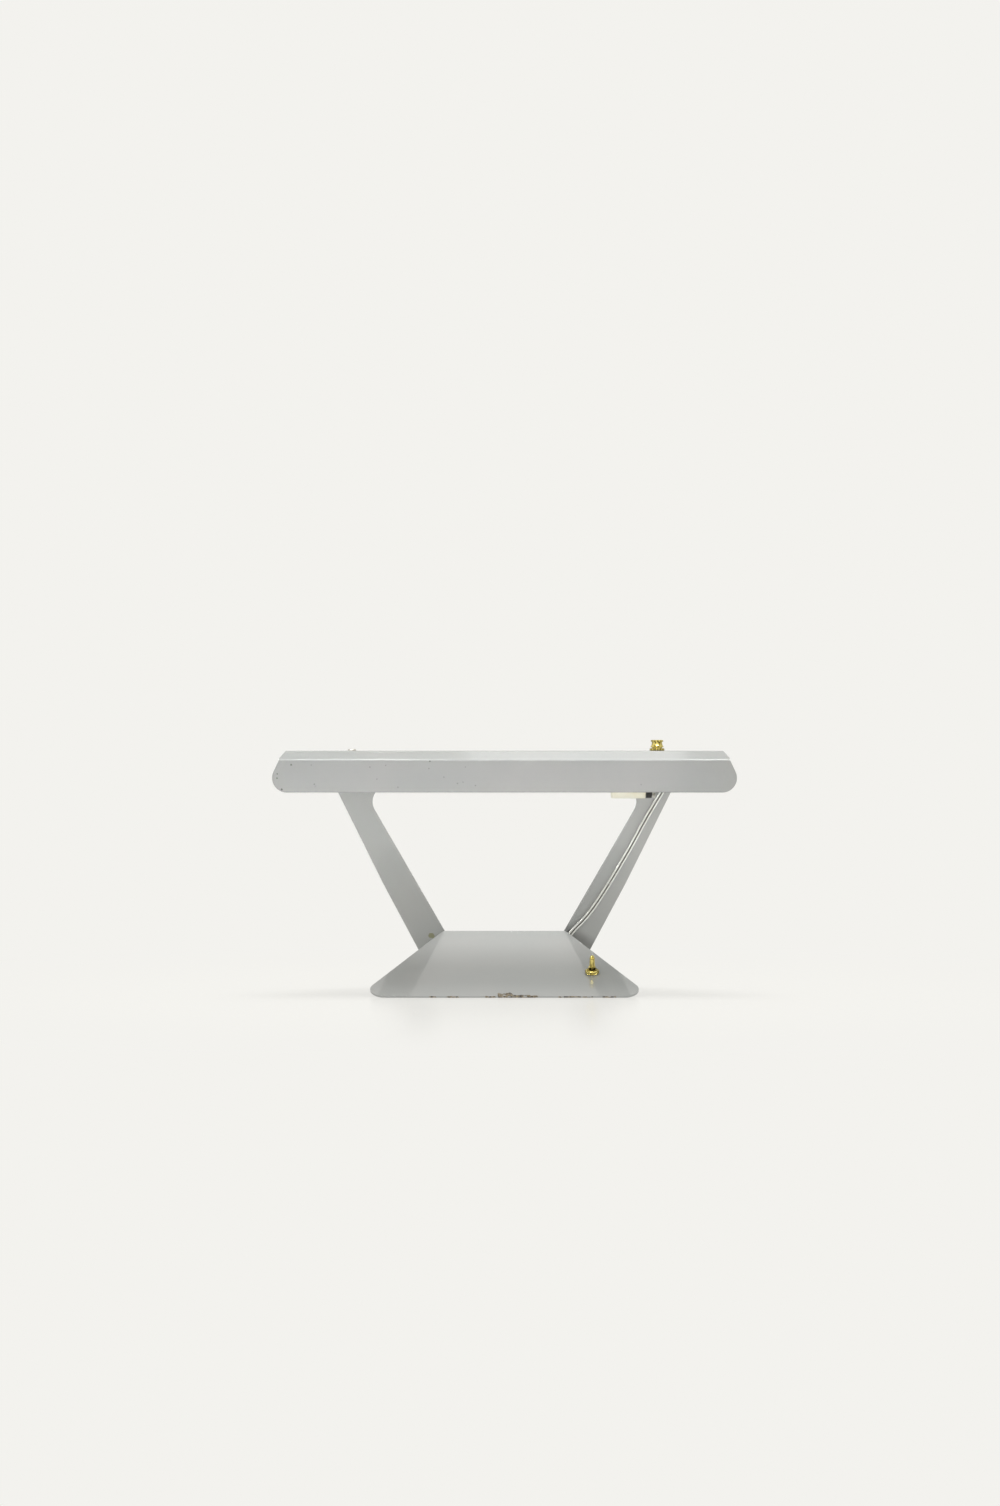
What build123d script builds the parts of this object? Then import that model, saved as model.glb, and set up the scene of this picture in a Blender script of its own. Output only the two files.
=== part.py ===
from build123d import *
import math
import os

# A table lamp folded from one steel sheet. A tongue cut out of the back is
# folded forward as the foot, what is left of the back is two arms, and the
# top is folded forward as the shade over a short fluorescent tube.
# Millimetres. +X is the lamp's right, -Y its front, +Z up. The origin is
# under the middle of the outer box, on the table.

os.makedirs("parts", exist_ok=True)

# The sheet and its folds.
SHEET = 1.5
BEND_RADIUS = 3.5
LEAN = 25.0
FOOT_SLOPE = 20.3
FOLD_HEIGHT = 59.3
TOP_HEIGHT = 247.0
TOP_FLAT = 64.5
BEVEL_RUN = 9.4
BEVEL_DROP = 8.8
LIP_HEIGHT = 32.8
LIP_CORNER = 14.5

# The blank's outline: half widths at the fold and how they grow along it.
EDGE_HALF = 98.6
LOWER_SPREAD = 0.461
LOWER_LENGTH = 60.0
EDGE_SPREAD = 0.426
SHADE_SPREAD = 0.468
CUT_HALF = 62.5
CUT_SPREAD = 0.5045
WINDOW_LENGTH = 169.5
WINDOW_CORNER = 20.5
TONGUE_LENGTH = 167.4
TONGUE_CORNER = 17.7
FLAT_TRIM = 5.0

# The tube and its holders.
TUBE_LENGTH = 288.3
TUBE_RADIUS = 7.75
TUBE_WALL = 0.8
CAP_RADIUS = 8.0
CAP_DEPTH = 12.0
CAP_WALL = 1.5
PIN_RADIUS = 1.2
PIN_PITCH = 5.0
PIN_LENGTH = 7.2
TUBE_AXIS_HEIGHT = 225.5
HOLDER_GAP = 0.45
HOLDER_LENGTH = 15.7
HOLDER_WIDTH = 18.0
HOLDER_SPACER = 1.2
ROTOR_RADIUS = 6.6
ROTOR_LENGTH = 5.5
RUNNING_FIT = 0.05
STUD_SPAN = 308.0

# The starter and its socket.
STARTER_RADIUS = 10.75
STARTER_LENGTH = 35.0
STARTER_END_X = 143.0
STARTER_BACK = 22.0
STARTER_HEIGHT = 209.0
STARTER_PIN_RADIUS = 2.35
STARTER_PIN_PITCH = 12.7
SOCKET_SIZE = 20.6
SOCKET_DEPTH = 6.2

# The switch on the foot.
SWITCH_X = 89.0
SWITCH_ALONG = 110.0
SWITCH_RADIUS = 4.9
SWITCH_PIVOT = 2.5
LEVER_TILT = 12.0

# The choke, its terminals and the lead hole on the foot's back plate.
CHOKE_LENGTH = 85.0
CHOKE_LOW = -50.0
CHOKE_HIGH = -12.0
TERMINAL_X = 55.0
TERMINAL_LOW = -46.0
TERMINAL_HIGH = -30.0
TERMINAL_MID = (TERMINAL_LOW + TERMINAL_HIGH) / 2
CONNECTOR_X = 166.0
CONNECTOR_LOW = 179.0
CONNECTOR_HIGH = 197.0
CONNECTOR_MID = (CONNECTOR_LOW + CONNECTOR_HIGH) / 2
GROMMET_X = -56.0
GROMMET_ALONG = -42.0
GROMMET_BORE = 3.0
EARTH_ALONG = -22.0

# Cords.
FLEX_RADIUS = 2.5
LEAD_RADIUS = 1.0
TWIN_LEAD_RADIUS = 1.4

lean_sin = math.sin(math.radians(LEAN))
lean_cos = math.cos(math.radians(LEAN))
slope_sin = math.sin(math.radians(FOOT_SLOPE))
slope_cos = math.cos(math.radians(FOOT_SLOPE))

# Places along Y, measured from the fold, then moved so that the box is centred.
back_run = FOLD_HEIGHT * lean_sin / lean_cos
rise_run = (TOP_HEIGHT - FOLD_HEIGHT) * lean_sin / lean_cos
depth = back_run + rise_run + TOP_FLAT + BEVEL_RUN
fold_y = depth / 2 - back_run
top_back_y = fold_y - rise_run
top_front_y = top_back_y - TOP_FLAT
lip_y = -depth / 2
lip_top = TOP_HEIGHT - BEVEL_DROP
lip_bottom = lip_top - LIP_HEIGHT
back_length = rise_run / lean_sin
tube_y = top_back_y - 34.5
starter_y = tube_y + STARTER_BACK
under_top = TOP_HEIGHT - SHEET
tube_end = TUBE_LENGTH / 2
stud_x = STUD_SPAN / 2

# Local x is +X, local y runs up the back or down the foot, and local z goes
# from the painted outside through the sheet.
BACK = Plane(origin=(0, fold_y, FOLD_HEIGHT), x_dir=(1, 0, 0), z_dir=(0, -lean_cos, -lean_sin))
FOOT = Plane(origin=(0, fold_y, FOLD_HEIGHT), x_dir=(1, 0, 0), z_dir=(0, slope_sin, -slope_cos))


def edge_half(length):
    """Half width of the blank at a length from the fold."""
    half = EDGE_HALF + LOWER_SPREAD * min(length, LOWER_LENGTH)
    half += EDGE_SPREAD * max(min(length, back_length) - LOWER_LENGTH, 0)
    return half + SHADE_SPREAD * max(length - back_length, 0)


def cut_half(length):
    """Half width of the tongue's cut at a length from the fold."""
    return CUT_HALF + CUT_SPREAD * length


def block(low, high):
    """A box between two corners."""
    size = [high[i] - low[i] for i in range(3)]
    middle = [(high[i] + low[i]) / 2 for i in range(3)]
    return Pos(*middle) * Box(*size)


def rod(radius, start, end, axis="X"):
    """A cylinder along one axis, from one coordinate of that axis to another."""
    solid = Pos(0, 0, (start + end) / 2) * Cylinder(radius, end - start)
    turns = {"X": Rot(0, 90, 0), "Y": Rot(-90, 0, 0), "Z": Rot(0, 0, 0)}
    return turns[axis] * solid


def turned(points):
    """A solid of revolution about Z from its outline in radius and height."""
    outline = make_face(Polyline(*points, close=True))
    return revolve(Plane.XZ * outline, axis=Axis.Z)


def prism(plane, points, low, high):
    """A polygon of a plane, made solid between two depths."""
    face = make_face(Polyline(*points, close=True))
    return extrude(plane.offset(low) * face, high - low)


def group(solids):
    """Separate solids as one piece."""
    return Compound(children=list(solids))


def save(name, shape):
    """Write one piece."""
    export_step(shape, f"parts/{name}.step")


def offset_left(points, distance):
    """An open line moved to its left, with mitred corners."""
    moved = []
    for index, point in enumerate(points):
        before = Vector(*points[max(index - 1, 0)])
        here = Vector(*point)
        after = Vector(*points[min(index + 1, len(points) - 1)])
        into = (here - before) if index > 0 else (after - here)
        out = (after - here) if index < len(points) - 1 else into
        first = Vector(-into.Y, into.X).normalized()
        second = Vector(-out.Y, out.X).normalized()
        share = (first + second).normalized()
        reach = distance / share.dot(first)
        moved.append((here.X + share.X * reach, here.Y + share.Y * reach))
    return moved


def folded_strip(points):
    """The sheet's thickness along a side outline, across the whole width."""
    inner = offset_left(points, SHEET)
    outside = FilletPolyline(*points, radius=BEND_RADIUS)
    inside = FilletPolyline(*inner, radius=BEND_RADIUS - SHEET)
    ends = [Line(points[0], inner[0]), Line(points[-1], inner[-1])]
    face = make_face([*outside.edges(), *inside.edges(), *ends])
    return extrude(Plane.YZ * face, 260, both=True)


def mirrored(points):
    """An outline's right half, joined to its mirror image."""
    return points + [(-x, y) for x, y in reversed(points)]


def folded_body():
    """The painted sheet: foot, arms, top, bevel and lip."""
    below = -FLAT_TRIM * lean_sin / lean_cos
    floor_point = (fold_y + back_run - below, -FLAT_TRIM)
    back = [
        floor_point,
        (top_back_y, TOP_HEIGHT),
        (top_front_y, TOP_HEIGHT),
        (lip_y, lip_top),
        (lip_y, lip_bottom),
    ]
    shade = folded_strip(back)
    front_length = back_length + TOP_FLAT
    lip_length = front_length + math.hypot(BEVEL_RUN, BEVEL_DROP)
    plan = mirrored([
        (edge_half(-(back_run + 10) / lean_sin), fold_y + back_run + 10),
        (edge_half(LOWER_LENGTH), fold_y - LOWER_LENGTH * lean_sin),
        (edge_half(back_length), top_back_y),
        (edge_half(front_length), top_front_y),
        (edge_half(lip_length), lip_y + SHEET),
    ])
    lip_end = lip_length + LIP_HEIGHT
    front = mirrored([
        (edge_half(front_length), lip_top + BEVEL_DROP),
        (edge_half(lip_length), lip_top),
        (edge_half(lip_end), lip_bottom),
    ])
    lip_face = make_face(Polyline(*front, close=True))
    lip_face = fillet(lip_face.vertices().group_by(Axis.Y)[0], LIP_CORNER)
    lip_trim = Pos(0, lip_y + SHEET, 0) * extrude(Plane.XZ * lip_face, SHEET + 1)
    shade = shade & (prism(Plane.XY, plan, -10, 260) + lip_trim)

    window_low = -BEND_RADIUS - 0.5
    window = mirrored([(cut_half(window_low), window_low), (cut_half(WINDOW_LENGTH), WINDOW_LENGTH)])
    window_face = make_face(Polyline(*window, close=True))
    window_face = fillet(window_face.vertices().group_by(Axis.Y)[-1], WINDOW_CORNER)
    shade = shade - extrude(BACK.offset(-5) * window_face, 12)

    foot = folded_strip([
        floor_point,
        (fold_y, FOLD_HEIGHT),
        (fold_y - TONGUE_LENGTH * slope_cos, FOLD_HEIGHT - TONGUE_LENGTH * slope_sin),
    ])
    front_y = fold_y - TONGUE_LENGTH * slope_cos
    tongue = mirrored([
        (CUT_HALF, fold_y + 40),
        (CUT_HALF, fold_y),
        (cut_half(TONGUE_LENGTH), front_y - 1e-3),
    ])
    tongue_face = make_face(Polyline(*tongue, close=True))
    tongue_face = fillet(tongue_face.vertices().group_by(Axis.Y)[0], TONGUE_CORNER)
    foot = foot & extrude(Plane.XY.offset(-10) * tongue_face, 100)

    body = shade + foot
    for side in (-1, 1):
        body = body - Pos(side * stud_x, tube_y, TOP_HEIGHT) * Cylinder(3.1 if side > 0 else 2.1, 10)
    for x, along, radius in back_holes():
        body = body - BACK * (Pos(x, along, 0) * Cylinder(radius, 10))
    body = body - FOOT * (Pos(SWITCH_X, SWITCH_ALONG, 0) * Cylinder(SWITCH_RADIUS + 0.1, 10))
    return body - block((-300, -300, -50), (300, 300, 0))


def back_holes():
    """Holes in the back plate: place across, place along and radius."""
    choke_x = CHOKE_LENGTH / 2 - 4.5
    choke_mid = (CHOKE_LOW + CHOKE_HIGH) / 2
    return [
        (-choke_x, choke_mid, 2.1),
        (choke_x, choke_mid, 2.1),
        (TERMINAL_X, TERMINAL_MID, 1.6),
        (GROMMET_X, GROMMET_ALONG, 4.6),
        (GROMMET_X, EARTH_ALONG, 2.1),
        (CONNECTOR_X, CONNECTOR_MID, 1.6),
    ]


def at_tube(shape):
    """Move a piece made about the X axis onto the tube's axis."""
    return Pos(0, tube_y, TUBE_AXIS_HEIGHT) * shape


def tube_pieces():
    """The tube, its end caps and their contact pins."""
    reach = tube_end - CAP_WALL - 0.2
    glass = rod(TUBE_RADIUS, -reach, reach) - rod(TUBE_RADIUS - TUBE_WALL, -reach + 1, reach - 1)
    caps = []
    pins = []
    for side in (-1, 1):
        cap = rod(CAP_RADIUS, tube_end - CAP_DEPTH, tube_end)
        cap = cap - rod(TUBE_RADIUS + RUNNING_FIT, tube_end - CAP_DEPTH - 1, tube_end - CAP_WALL)
        cap = fillet(cap.edges().group_by(Axis.X)[-1], 1.0)
        for offset in (-PIN_PITCH / 2, PIN_PITCH / 2):
            cap = cap - Pos(0, offset, 0) * rod(PIN_RADIUS + RUNNING_FIT, 130, 150)
            pin = rod(PIN_RADIUS, tube_end - CAP_WALL, tube_end + PIN_LENGTH)
            pin = fillet(pin.edges().group_by(Axis.X)[-1], 0.8)
            pin = Pos(0, offset, 0) * pin
            pins.append(pin if side > 0 else mirror(pin, Plane.YZ))
        caps.append(cap if side > 0 else mirror(cap, Plane.YZ))
    save("tube_glass", at_tube(glass))
    save("tube_end_caps", at_tube(group(caps)))
    save("tube_pins", at_tube(group(pins)))


def holder_pieces():
    """The two lampholders, with their rotors, contacts and spacer."""
    start = tube_end + HOLDER_GAP
    end = start + HOLDER_LENGTH
    top = under_top - HOLDER_SPACER - TUBE_AXIS_HEIGHT
    half = HOLDER_WIDTH / 2
    body = rod(half, start, end) + block((start, -half, 0), (end, half, top))
    recess_end = start + 7.8
    body = body - rod(ROTOR_RADIUS + RUNNING_FIT, start - 1, recess_end)
    body = body - block((start - 1, -1.6, -12), (recess_end, 1.6, 0))
    rim = body.edges().filter_by(Axis.X).group_by(Axis.Z)[-1]
    body = fillet(rim, 2.0)
    slot = block((start - 1, -4.1, -1.3), (start + ROTOR_LENGTH + 1, 4.1, 1.3))
    rotor = rod(ROTOR_RADIUS, start + 0.4, start + 0.4 + ROTOR_LENGTH) - slot
    contacts = []
    rotors = []
    for side in (-1, 1):
        name = "right" if side > 0 else "left"
        hole = Pos(side * stud_x, 0, top) * Cylinder(3.0 if side > 0 else 2.0, 20)
        holder = body if side > 0 else mirror(body, Plane.YZ)
        save(f"lampholder_{name}", at_tube(holder - hole))
        rotors.append(rotor if side > 0 else mirror(rotor, Plane.YZ))
        for offset in (-PIN_PITCH / 2, PIN_PITCH / 2):
            strip = block((recess_end - 0.5, offset - 1.2, -3.5), (recess_end - 0.1, offset + 1.2, 3.5))
            contacts.append(strip if side > 0 else mirror(strip, Plane.YZ))
    save("holder_rotors", at_tube(group(rotors)))
    save("holder_contacts", at_tube(group(contacts)))
    spacer = block((-end, -half, top), (-start, half, top + HOLDER_SPACER))
    spacer = spacer - Pos(-stud_x, 0, top) * Cylinder(2.1, 10)
    save("holder_spacer", at_tube(spacer))


def top_fastenings():
    """The right stud with its brass washer and thumb nut, and the left screw."""
    bottom = TUBE_AXIS_HEIGHT + 9.0
    stud = rod(2.9, bottom, TOP_HEIGHT + 10.0, "Z")
    stud = chamfer(stud.edges().group_by(Axis.Z)[-1], 0.6)
    washer = rod(7.5, TOP_HEIGHT, TOP_HEIGHT + 2.4, "Z")
    washer = fillet(washer.edges().filter_by(GeomType.CIRCLE), 0.6)
    washer = washer - rod(2.95, TOP_HEIGHT - 1, TOP_HEIGHT + 4, "Z")
    base = TOP_HEIGHT + 2.4
    nut = turned([
        (2.95, base), (5.0, base), (5.0, base + 0.8), (6.5, base + 0.9), (6.6, base + 1.9),
        (5.9, base + 2.6), (5.1, base + 5.6), (5.4, base + 6.3), (6.2, base + 6.7),
        (6.2, base + 7.9), (5.6, base + 8.4), (2.95, base + 8.4),
    ])
    place = Pos(stud_x, tube_y, 0)
    save("top_stud", place * stud)
    save("top_washer", place * washer)
    save("thumb_nut", place * nut)
    head = rod(4.2, TOP_HEIGHT, TOP_HEIGHT + 1.6, "Z")
    head = fillet(head.edges().group_by(Axis.Z)[-1], 1.0)
    screw = head + rod(1.95, bottom, TOP_HEIGHT, "Z")
    screw = screw - block((-5, -0.5, TOP_HEIGHT + 0.8), (5, 0.5, TOP_HEIGHT + 3))
    save("top_screw", Pos(-stud_x, tube_y, 0) * screw)


def starter_pieces():
    """The starter canister, its base and pins, the socket and its bracket."""
    place = Pos(0, starter_y, STARTER_HEIGHT)
    start = STARTER_END_X - STARTER_LENGTH
    canister = rod(STARTER_RADIUS, start, STARTER_END_X)
    canister = fillet(canister.edges().group_by(Axis.X)[0], 1.6)
    canister = canister - rod(STARTER_RADIUS - 1.0, start + 1.2, STARTER_END_X + 1)
    save("starter_canister", place * canister)
    base = rod(STARTER_RADIUS - 1.05, STARTER_END_X - 2.5, STARTER_END_X)
    pins = []
    for offset in (-STARTER_PIN_PITCH / 2, STARTER_PIN_PITCH / 2):
        base = base - Pos(0, 0, offset) * rod(STARTER_PIN_RADIUS, 130, 150)
        pin = rod(STARTER_PIN_RADIUS - RUNNING_FIT, STARTER_END_X - 2.5, STARTER_END_X + 4.0)
        pins.append(Pos(0, 0, offset) * fillet(pin.edges().group_by(Axis.X)[-1], 0.8))
    save("starter_base", place * base)
    save("starter_pins", place * group(pins))
    face = STARTER_END_X + 0.6
    back = face + SOCKET_DEPTH
    half = SOCKET_SIZE / 2
    socket = block((face, -half, -half), (back, half, half))
    socket = fillet(socket.edges().filter_by(Axis.X), 4.5)
    socket = fillet(socket.edges().group_by(Axis.X)[-1], 1.6)
    socket = socket - (rod(8.9, face - 1, face + 4.5) - rod(3.8, face - 1, face + 4.5))
    bracket_end = under_top - STARTER_HEIGHT
    side = half - 1.5
    leg = block((back, -side, -half + 1), (back + HOLDER_SPACER, side, bracket_end))
    holder_back = tube_y + HOLDER_WIDTH / 2 - starter_y
    flange_low = bracket_end - HOLDER_SPACER
    arm = block((back, holder_back - 1, flange_low), (160.3, side, bracket_end))
    pad = block((145, holder_back - HOLDER_WIDTH, flange_low), (160.3, holder_back, bracket_end))
    pad = pad - Pos(stud_x, -STARTER_BACK, bracket_end) * Cylinder(3.1, 10)
    bracket = leg + arm + pad
    screws = []
    for side in (-1, 1):
        spot = Pos(0, side * 7.6, side * 7.6)
        socket = socket - spot * rod(1.5, face + 5.0, back + 1)
        bracket = bracket - spot * rod(1.6, back - 1, back + 3)
        screw = rod(1.45, face + 5.2, back + 2) + rod(2.8, back + HOLDER_SPACER, back + 3.0)
        slot = block((back + 2.4, -3, -0.35), (back + 4, 3, 0.35))
        screws.append(spot * (screw - slot))
    save("starter_socket", place * socket)
    save("starter_bracket", place * bracket)
    save("socket_screws", place * group(screws))


def back_screw(x, along, radius, head, reach):
    """A slotted round-head screw through the back plate, head outside."""
    dome = rod(head, -1.8, 0, "Z")
    dome = fillet(dome.edges().group_by(Axis.Z)[0], 1.2)
    screw = dome + rod(radius, 0, reach, "Z")
    screw = screw - block((-head - 1, -0.4, -3), (head + 1, 0.4, -0.9))
    return BACK * (Pos(x, along, 0) * screw)


def terminal_strip(name, middle, low, high, poles, pitch):
    """A black moulded terminal strip on the back plate, with brass screws."""
    half = poles * pitch / 2 + 1.0
    depth_in = 10.5
    strip = block((middle - half, low, SHEET), (middle + half, high, SHEET + depth_in))
    strip = fillet(strip.edges().filter_by(Axis.Z), 1.2)
    screws = []
    along = (low + high) / 2
    for index in range(poles):
        x = middle + (index - (poles - 1) / 2) * pitch
        for step in (-4.5, 4.5):
            spot = Pos(x, along + step, 0)
            strip = strip - spot * rod(1.9, SHEET + 5, SHEET + depth_in + 1, "Z")
            head = rod(1.8, SHEET + 5, SHEET + depth_in - 1.2, "Z")
            screws.append(spot * (head - block((-2, -0.3, SHEET + 8.6), (2, 0.3, SHEET + 12))))
    strip = strip - Pos(middle, along, 0) * rod(1.5, SHEET - 1, SHEET + 4, "Z")
    save(name, BACK * strip)
    save(f"{name}_screws", BACK * group(screws))


def foot_pieces():
    """Choke, terminal strips, earth screw and lead grommet."""
    half = CHOKE_LENGTH / 2
    choke_mid = (CHOKE_LOW + CHOKE_HIGH) / 2
    plate = 1.2
    base = block((-half, CHOKE_LOW, SHEET), (half, CHOKE_HIGH, SHEET + plate))
    outer = block((-18, CHOKE_LOW, SHEET), (18, CHOKE_HIGH, SHEET + 24.4))
    inner = block((-20, CHOKE_LOW + plate, SHEET + plate), (20, CHOKE_HIGH - plate, SHEET + 24.4 - plate))
    frame = base + (outer - inner)
    core = block((-29, CHOKE_LOW + plate, SHEET + plate), (29, CHOKE_HIGH - plate, SHEET + 23.2))
    core = chamfer(core.edges().filter_by(Axis.X), 0.8)
    coils = []
    for side in (-1, 1):
        coil = block((29, choke_mid - 11, SHEET + 5), (36, choke_mid + 11, SHEET + 20))
        coil = fillet(coil.edges().group_by(Axis.X)[-1], 2.5)
        coils.append(coil if side > 0 else mirror(coil, Plane.YZ))
    screws = []
    for side in (-1, 1):
        x = side * (half - 4.5)
        frame = frame - Pos(x, choke_mid, 0) * Cylinder(2.1, 10)
        screws.append(back_screw(x, choke_mid, 1.95, 4.0, 8.0))
    save("choke_frame", BACK * frame)
    save("choke_core", BACK * core)
    save("choke_windings", BACK * group(coils))
    save("choke_screws", group(screws))
    nuts = []
    hexagon = extrude(RegularPolygon(4.0, 6), 3.0) - Cylinder(2.0, 20)
    for side in (-1, 1):
        nuts.append(BACK * (Pos(side * (half - 4.5), choke_mid, SHEET + plate) * hexagon))
    save("choke_nuts", group(nuts))

    terminal_strip("foot_terminals", TERMINAL_X, TERMINAL_LOW, TERMINAL_HIGH, 3, 5.4)
    terminal_strip("shade_terminals", CONNECTOR_X, CONNECTOR_LOW, CONNECTOR_HIGH, 2, 6.0)
    strip_screws = [
        back_screw(TERMINAL_X, TERMINAL_MID, 1.45, 3.0, 4.5),
        back_screw(CONNECTOR_X, CONNECTOR_MID, 1.45, 3.0, 4.5),
    ]
    save("terminal_screws", group(strip_screws))
    save("earth_screw", back_screw(GROMMET_X, EARTH_ALONG, 1.95, 4.0, 8.0))
    tag = Cylinder(4.0, 0.8) + block((-1.8, 0, -0.4), (1.8, 12, 0.4))
    tag = tag - Cylinder(2.05, 5)
    save("earth_tag", BACK * (Pos(GROMMET_X, EARTH_ALONG, SHEET + 0.4) * tag))
    earth_nut = Pos(GROMMET_X, EARTH_ALONG, SHEET + 0.8) * hexagon
    save("earth_nut", BACK * earth_nut)
    lip = 6.4
    grommet = turned([
        (GROMMET_BORE, -2.2), (lip - 0.8, -2.2), (lip, -1.2), (lip, 0.0), (4.55, 0.0),
        (4.55, SHEET), (lip, SHEET), (lip, SHEET + 1.4), (lip - 0.8, SHEET + 2.3),
        (GROMMET_BORE, SHEET + 2.3),
    ])
    save("lead_grommet", BACK * (Pos(GROMMET_X, GROMMET_ALONG, 0) * grommet))


def switch_pieces():
    """The toggle switch through the foot, with its lever and nuts."""
    place = FOOT * Pos(SWITCH_X, SWITCH_ALONG, 0)
    bushing = rod(SWITCH_RADIUS, -4.4, 4.2, "Z") + block((-6.4, -11, 3.4), (6.4, 11, 4.4))
    bushing = bushing - rod(3.6, -5, 6, "Z")
    ring = turned([
        (SWITCH_RADIUS + RUNNING_FIT, 0.0), (7.2, 0.0), (7.2, -1.6), (6.7, -3.0), (5.8, -4.0),
        (SWITCH_RADIUS + RUNNING_FIT, -4.0),
    ])
    nut = extrude(Plane.XY.offset(SHEET) * RegularPolygon(7.4, 6), 1.8)
    nut = nut - rod(SWITCH_RADIUS + RUNNING_FIT, 0, 5, "Z")
    case = block((-6.5, -11, 4.4), (6.5, 11, 13.5))
    case = fillet(case.edges().filter_by(Axis.Z), 1.0)
    case = case - rod(4.4, 4, 8.5, "Z")
    tabs = []
    for side in (-1, 1):
        tabs.append(block((side * 3.5 - 1.6, -7.4, 13.5), (side * 3.5 + 1.6, -6.6, 17.0)))
    lever = turned([
        (0, -18.1), (1.2, -17.8), (1.9, -17.0), (2.3, -15.8), (2.2, -15.0), (3.0, -7.0),
        (3.9, -6.6), (3.9, -5.9), (1.7, -4.9), (1.7, SWITCH_PIVOT - 2.0), (2.6, SWITCH_PIVOT - 1.0),
        (2.6, SWITCH_PIVOT + 1.0), (1.5, SWITCH_PIVOT + 2.2), (0, SWITCH_PIVOT + 2.4),
    ])
    tilted = Pos(0, 0, SWITCH_PIVOT) * Rot(-LEVER_TILT, 0, 0) * Pos(0, 0, -SWITCH_PIVOT) * lever
    save("switch_bushing", place * bushing)
    save("switch_ring_nut", place * ring)
    save("switch_lock_nut", place * nut)
    save("switch_case", place * case)
    save("switch_tabs", place * group(tabs))
    save("switch_lever", place * tilted)


def cord(name, points, radius):
    """A round cord: straight runs joined by tangent arcs, with its radii printed."""
    corners = [Vector(*point) for point in points]
    radii = []
    for index in range(1, len(corners) - 1):
        into = corners[index] - corners[index - 1]
        out = corners[index + 1] - corners[index]
        half_turn = math.radians(into.get_angle(out)) / 2
        radii.append(0.45 * min(into.length, out.length) / math.tan(half_turn))
    path = FilletPolyline(*corners, radius=radii)
    section = Plane(origin=path @ 0, z_dir=path % 0) * Circle(radius)
    solid = sweep(section, path=path)
    expected = math.pi * radius**2 * path.length
    print(name, "length", round(path.length, 1), "least radius", round(min(radii), 1),
          "volume share", round(solid.volume / expected, 4))
    save(name, solid)


def on_back(x, along, inward):
    """A point of the back plate's own frame."""
    return tuple(BACK.from_local_coords((x, along, inward)))


def on_foot(x, along, inward):
    """A point of the foot's own frame."""
    return tuple(FOOT.from_local_coords((x, along, inward)))


def cords():
    """The flex down the right arm and the leads of the shade and the foot."""
    cord("arm_flex", [
        on_back(166.0, 178.6, 7.0),
        on_back(163.4, 166.0, 5.2),
        on_back(156.2, 152.0, 4.5),
        on_back(144.2, 129.0, 4.4),
        on_back(131.9, 102.0, 4.6),
        on_back(118.3, 75.0, 4.4),
        on_back(105.0, 49.5, 4.5),
        on_back(92.4, 27.5, 4.4),
        on_back(82.4, 13.6, 4.8),
        on_back(69.2, -0.6, 5.6),
        on_back(60.6, -16.0, 6.4),
        on_back(56.0, -30.2, 6.6),
    ], FLEX_RADIUS)
    cord("shade_lead_left", [
        on_back(159.2, 186.0, 7.0),
        on_back(146.0, 185.4, 4.4),
        on_back(118.0, 183.4, 3.4),
        on_back(76.0, 181.4, 3.3),
        on_back(28.0, 180.3, 3.3),
        on_back(-22.0, 180.4, 3.3),
        on_back(-72.0, 181.6, 3.3),
        on_back(-112.0, 183.7, 3.5),
        on_back(-136.0, 186.4, 6.0),
        on_back(-149.0, 189.6, 13.0),
        (-152.4, tube_y + 9.2, 229.5),
    ], TWIN_LEAD_RADIUS)
    cord("shade_lead_right", [
        on_back(168.6, 188.5, 11.8),
        (169.8, tube_y + 24.6, 220.6),
        (171.6, tube_y + 17.0, 217.6),
        (172.0, tube_y + 9.0, 217.8),
        (168.6, tube_y + 2.6, 221.0),
        (160.1, tube_y + 0.6, 224.0),
    ], LEAD_RADIUS)
    cord("starter_lead", [
        (147.6, tube_y + 8.8, 230.0),
        (148.0, tube_y + 17.0, 235.5),
        (147.8, tube_y + 25.0, 237.0),
        (147.2, tube_y + 31.0, 232.5),
        (146.9, tube_y + 31.0, 225.0),
        (146.8, tube_y + 25.5, 218.9),
    ], LEAD_RADIUS)
    cord("switch_lead_live", [
        on_foot(SWITCH_X + 3.5, SWITCH_ALONG - 7.2, 15.6),
        (91.2, fold_y - 78.0, 4.6),
        (87.2, fold_y - 64.0, 2.4),
        (81.0, fold_y - 45.0, 2.2),
        (73.0, fold_y - 28.0, 4.2),
        (66.0, fold_y - 11.0, 10.5),
        on_back(60.4, TERMINAL_MID, 11.8),
    ], LEAD_RADIUS)
    cord("switch_lead_load", [
        on_foot(SWITCH_X - 3.5, SWITCH_ALONG - 7.2, 15.6),
        (83.8, fold_y - 77.0, 4.4),
        (79.0, fold_y - 62.0, 2.3),
        (72.0, fold_y - 44.0, 2.3),
        (64.0, fold_y - 27.0, 4.0),
        (58.4, fold_y - 11.0, 10.0),
        on_back(52.3, TERMINAL_MID, 11.8),
    ], LEAD_RADIUS)


save("folded_body", folded_body())
tube_pieces()
holder_pieces()
top_fastenings()
starter_pieces()
foot_pieces()
switch_pieces()
cords()
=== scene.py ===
"""A table lamp folded from one painted steel sheet, dressed around its CAD frame."""

from __future__ import annotations

import logging
import math
from dataclasses import dataclass
from enum import Enum

import bpy
from mathutils import Matrix, Vector


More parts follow.
